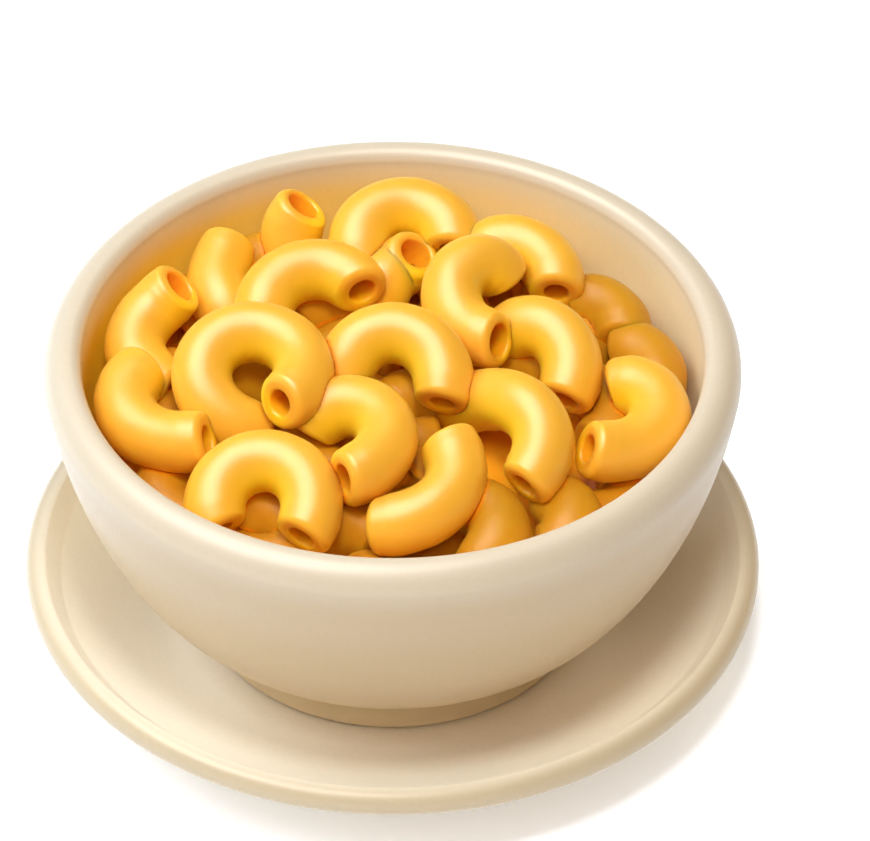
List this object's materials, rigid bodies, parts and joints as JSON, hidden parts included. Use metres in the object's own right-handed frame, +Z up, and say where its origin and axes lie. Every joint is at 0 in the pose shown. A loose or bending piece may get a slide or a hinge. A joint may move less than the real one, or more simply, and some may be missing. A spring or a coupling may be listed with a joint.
{
  "type": "bowl of macaroni and cheese",
  "caption": "Round cream bowl on its saucer, heaped with cooked elbow macaroni in a glossy yellow cheese sauce.",
  "frame": {"origin": "centre of the saucer's foot ring, on the plane the saucer stands on", "axes": "+Z up along the axis of the bowl and the saucer, -Y towards the near side in the picture, +X to its right"},
  "size_m": [0.1402, 0.1402, 0.0747],
  "materials": {
    "saucer": "cream glazed stoneware, satin gloss",
    "bowl": "cream glazed stoneware, satin gloss",
    "macaroni": "cooked wheat pasta coated in cheese sauce, wet gloss"
  },
  "bodies": {
    "root": {"saucer": "saucer", "bowl": "bowl", "macaroni": "macaroni"}
  },
  "joints": []
}
